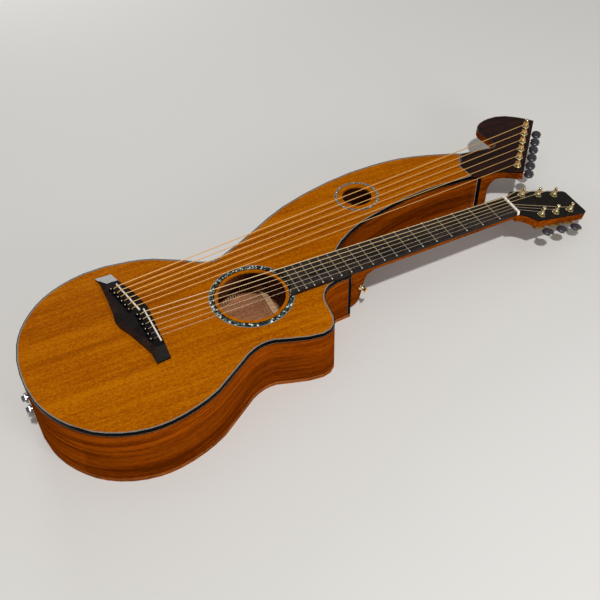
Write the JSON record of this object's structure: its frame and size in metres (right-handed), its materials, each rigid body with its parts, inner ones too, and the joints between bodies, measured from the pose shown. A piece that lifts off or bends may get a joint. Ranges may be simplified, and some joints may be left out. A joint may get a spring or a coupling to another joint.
{
  "type": "harp guitar",
  "caption": "Acoustic harp guitar with a cutaway body, a fretted neck and a hollow arm that carries extra bass strings past the neck to a head of its own.",
  "frame": {"origin": "on the flat back's outer face, on the middle line of the neck, under the middle of the body between the tail and the neck joint", "axes": "+X runs along the neck towards the heads, +Y points to the arm and the bass side, +Z points from the back to the soundboard; the object lies on its back"},
  "size_m": [1.0433, 0.4126, 0.1274],
  "materials": {
    "top_wood": "amber-orange lacquered mahogany, high gloss, fine straight grain",
    "rib_wood": "red-brown lacquered mahogany, gloss",
    "neck_wood": "red-brown lacquered mahogany, gloss",
    "block_wood": "bare light wood, unfinished",
    "binding": "black binding, gloss",
    "shell_inlay": "grey-green abalone shell, polished",
    "ebony": "oiled ebony, satin, with fine grain",
    "head_veneer": "dark lacquered veneer, gloss",
    "bone": "polished bone, off-white",
    "gold": "gold-plated metal, polished",
    "button": "black button on a gold shaft",
    "nickel": "nickel-plated metal",
    "wound_string": "bronze-wound string",
    "plain_string": "plain steel string"
  },
  "bodies": {
    "guitar": {"soundboard": "top_wood", "back": "rib_wood", "side_treble": "rib_wood", "side_bass": "rib_wood", "side_arm_inner": "rib_wood", "tail_block": "block_wood", "top_binding": "binding", "main_rosette": "shell_inlay", "arm_rosette": "shell_inlay", "bridge": "ebony", "guitar_saddle": "bone", "harp_saddle": "bone", "neck": "neck_wood", "head_veneer": "head_veneer", "fretboard": "ebony", "nut": "bone", "arm_head": "neck_wood", "arm_head_veneer": "head_veneer", "tuner_plate_bass": "gold", "tuner_plate_treble": "gold", "tuner_plate_harp": "gold", "string_6": "wound_string", "string_5": "wound_string", "string_4": "wound_string", "string_3": "wound_string", "string_2": "plain_string", "string_1": "plain_string", "harp_string_1": "wound_string", "harp_string_2": "wound_string", "harp_string_3": "wound_string", "harp_string_4": "wound_string", "harp_string_5": "wound_string", "harp_string_6": "wound_string", "strap_button": "gold", "output_jack_upper": "nickel", "output_jack_lower": "nickel"},
    "tuner_post_bass_1": {"tuner_post_bass_1": "gold"},
    "tuner_button_bass_1": {"tuner_button_bass_1": "button"},
    "tuner_post_bass_2": {"tuner_post_bass_2": "gold"},
    "tuner_button_bass_2": {"tuner_button_bass_2": "button"},
    "tuner_post_bass_3": {"tuner_post_bass_3": "gold"},
    "tuner_button_bass_3": {"tuner_button_bass_3": "button"},
    "tuner_post_treble_1": {"tuner_post_treble_1": "gold"},
    "tuner_button_treble_1": {"tuner_button_treble_1": "button"},
    "tuner_post_treble_2": {"tuner_post_treble_2": "gold"},
    "tuner_button_treble_2": {"tuner_button_treble_2": "button"},
    "tuner_post_treble_3": {"tuner_post_treble_3": "gold"},
    "tuner_button_treble_3": {"tuner_button_treble_3": "button"},
    "tuner_post_harp_1": {"tuner_post_harp_1": "gold"},
    "tuner_button_harp_1": {"tuner_button_harp_1": "button"},
    "tuner_post_harp_2": {"tuner_post_harp_2": "gold"},
    "tuner_button_harp_2": {"tuner_button_harp_2": "button"},
    "tuner_post_harp_3": {"tuner_post_harp_3": "gold"},
    "tuner_button_harp_3": {"tuner_button_harp_3": "button"},
    "tuner_post_harp_4": {"tuner_post_harp_4": "gold"},
    "tuner_button_harp_4": {"tuner_button_harp_4": "button"},
    "tuner_post_harp_5": {"tuner_post_harp_5": "gold"},
    "tuner_button_harp_5": {"tuner_button_harp_5": "button"},
    "tuner_post_harp_6": {"tuner_post_harp_6": "gold"},
    "tuner_button_harp_6": {"tuner_button_harp_6": "button"}
  },
  "joints": [
    {"name": "post_turn_bass_1", "type": "hinge", "parent": "guitar", "child": "tuner_post_bass_1", "pos_m": [0.62829, 0.02905, 0.06837], "axis": [0.3213, 0, 0.947], "continuous": true},
    {"name": "button_turn_bass_1", "type": "hinge", "parent": "guitar", "child": "tuner_button_bass_1", "pos_m": [0.62975, 0.02905, 0.04622], "axis": [0, 1, 0], "continuous": true},
    {"name": "post_turn_bass_2", "type": "hinge", "parent": "guitar", "child": "tuner_post_bass_2", "pos_m": [0.66191, 0.02604, 0.05696], "axis": [0.3213, 0, 0.947], "continuous": true},
    {"name": "button_turn_bass_2", "type": "hinge", "parent": "guitar", "child": "tuner_button_bass_2", "pos_m": [0.66337, 0.02604, 0.03481], "axis": [0, 1, 0], "continuous": true},
    {"name": "post_turn_bass_3", "type": "hinge", "parent": "guitar", "child": "tuner_post_bass_3", "pos_m": [0.69552, 0.02303, 0.04555], "axis": [0.3213, 0, 0.947], "continuous": true},
    {"name": "button_turn_bass_3", "type": "hinge", "parent": "guitar", "child": "tuner_button_bass_3", "pos_m": [0.69699, 0.02303, 0.02341], "axis": [0, 1, 0], "continuous": true},
    {"name": "post_turn_treble_1", "type": "hinge", "parent": "guitar", "child": "tuner_post_treble_1", "pos_m": [0.62829, -0.02905, 0.06837], "axis": [0.3213, 0, 0.947], "continuous": true},
    {"name": "button_turn_treble_1", "type": "hinge", "parent": "guitar", "child": "tuner_button_treble_1", "pos_m": [0.62975, -0.02905, 0.04622], "axis": [0, -1, 0], "continuous": true},
    {"name": "post_turn_treble_2", "type": "hinge", "parent": "guitar", "child": "tuner_post_treble_2", "pos_m": [0.66191, -0.02604, 0.05696], "axis": [0.3213, 0, 0.947], "continuous": true},
    {"name": "button_turn_treble_2", "type": "hinge", "parent": "guitar", "child": "tuner_button_treble_2", "pos_m": [0.66337, -0.02604, 0.03481], "axis": [0, -1, 0], "continuous": true},
    {"name": "post_turn_treble_3", "type": "hinge", "parent": "guitar", "child": "tuner_post_treble_3", "pos_m": [0.69552, -0.02303, 0.04555], "axis": [0.3213, 0, 0.947], "continuous": true},
    {"name": "button_turn_treble_3", "type": "hinge", "parent": "guitar", "child": "tuner_button_treble_3", "pos_m": [0.69699, -0.02303, 0.02341], "axis": [0, -1, 0], "continuous": true},
    {"name": "post_turn_harp_1", "type": "hinge", "parent": "guitar", "child": "tuner_post_harp_1", "pos_m": [0.74527, 0.18507, 0.0739], "axis": [0.0479, 0, 0.9989], "continuous": true},
    {"name": "button_turn_harp_1", "type": "hinge", "parent": "guitar", "child": "tuner_button_harp_1", "pos_m": [0.74994, 0.19141, 0.05315], "axis": [0.7458, -0.6652, -0.0358], "continuous": true},
    {"name": "post_turn_harp_2", "type": "hinge", "parent": "guitar", "child": "tuner_post_harp_2", "pos_m": [0.72853, 0.16625, 0.0747], "axis": [0.0479, 0, 0.9989], "continuous": true},
    {"name": "button_turn_harp_2", "type": "hinge", "parent": "guitar", "child": "tuner_button_harp_2", "pos_m": [0.73319, 0.1726, 0.05395], "axis": [0.7458, -0.6652, -0.0358], "continuous": true},
    {"name": "post_turn_harp_3", "type": "hinge", "parent": "guitar", "child": "tuner_post_harp_3", "pos_m": [0.71178, 0.14743, 0.0755], "axis": [0.0479, 0, 0.9989], "continuous": true},
    {"name": "button_turn_harp_3", "type": "hinge", "parent": "guitar", "child": "tuner_button_harp_3", "pos_m": [0.71645, 0.15378, 0.05476], "axis": [0.7458, -0.6652, -0.0358], "continuous": true},
    {"name": "post_turn_harp_4", "type": "hinge", "parent": "guitar", "child": "tuner_post_harp_4", "pos_m": [0.69504, 0.12862, 0.07631], "axis": [0.0479, 0, 0.9989], "continuous": true},
    {"name": "button_turn_harp_4", "type": "hinge", "parent": "guitar", "child": "tuner_button_harp_4", "pos_m": [0.69971, 0.13497, 0.05556], "axis": [0.7458, -0.6652, -0.0358], "continuous": true},
    {"name": "post_turn_harp_5", "type": "hinge", "parent": "guitar", "child": "tuner_post_harp_5", "pos_m": [0.67829, 0.1098, 0.07711], "axis": [0.0479, 0, 0.9989], "continuous": true},
    {"name": "button_turn_harp_5", "type": "hinge", "parent": "guitar", "child": "tuner_button_harp_5", "pos_m": [0.68296, 0.11615, 0.05636], "axis": [0.7458, -0.6652, -0.0358], "continuous": true},
    {"name": "post_turn_harp_6", "type": "hinge", "parent": "guitar", "child": "tuner_post_harp_6", "pos_m": [0.66155, 0.09099, 0.07791], "axis": [0.0479, 0, 0.9989], "continuous": true},
    {"name": "button_turn_harp_6", "type": "hinge", "parent": "guitar", "child": "tuner_button_harp_6", "pos_m": [0.66622, 0.09734, 0.05716], "axis": [0.7458, -0.6652, -0.0358], "continuous": true}
  ],
  "couplings": [
    {"joint": "post_turn_bass_1", "follows": "button_turn_bass_1", "ratio": -0.071429},
    {"joint": "post_turn_bass_2", "follows": "button_turn_bass_2", "ratio": -0.071429},
    {"joint": "post_turn_bass_3", "follows": "button_turn_bass_3", "ratio": -0.071429},
    {"joint": "post_turn_treble_1", "follows": "button_turn_treble_1", "ratio": 0.071429},
    {"joint": "post_turn_treble_2", "follows": "button_turn_treble_2", "ratio": 0.071429},
    {"joint": "post_turn_treble_3", "follows": "button_turn_treble_3", "ratio": 0.071429},
    {"joint": "post_turn_harp_1", "follows": "button_turn_harp_1", "ratio": 0.071429},
    {"joint": "post_turn_harp_2", "follows": "button_turn_harp_2", "ratio": 0.071429},
    {"joint": "post_turn_harp_3", "follows": "button_turn_harp_3", "ratio": 0.071429},
    {"joint": "post_turn_harp_4", "follows": "button_turn_harp_4", "ratio": 0.071429},
    {"joint": "post_turn_harp_5", "follows": "button_turn_harp_5", "ratio": 0.071429},
    {"joint": "post_turn_harp_6", "follows": "button_turn_harp_6", "ratio": 0.071429}
  ]
}
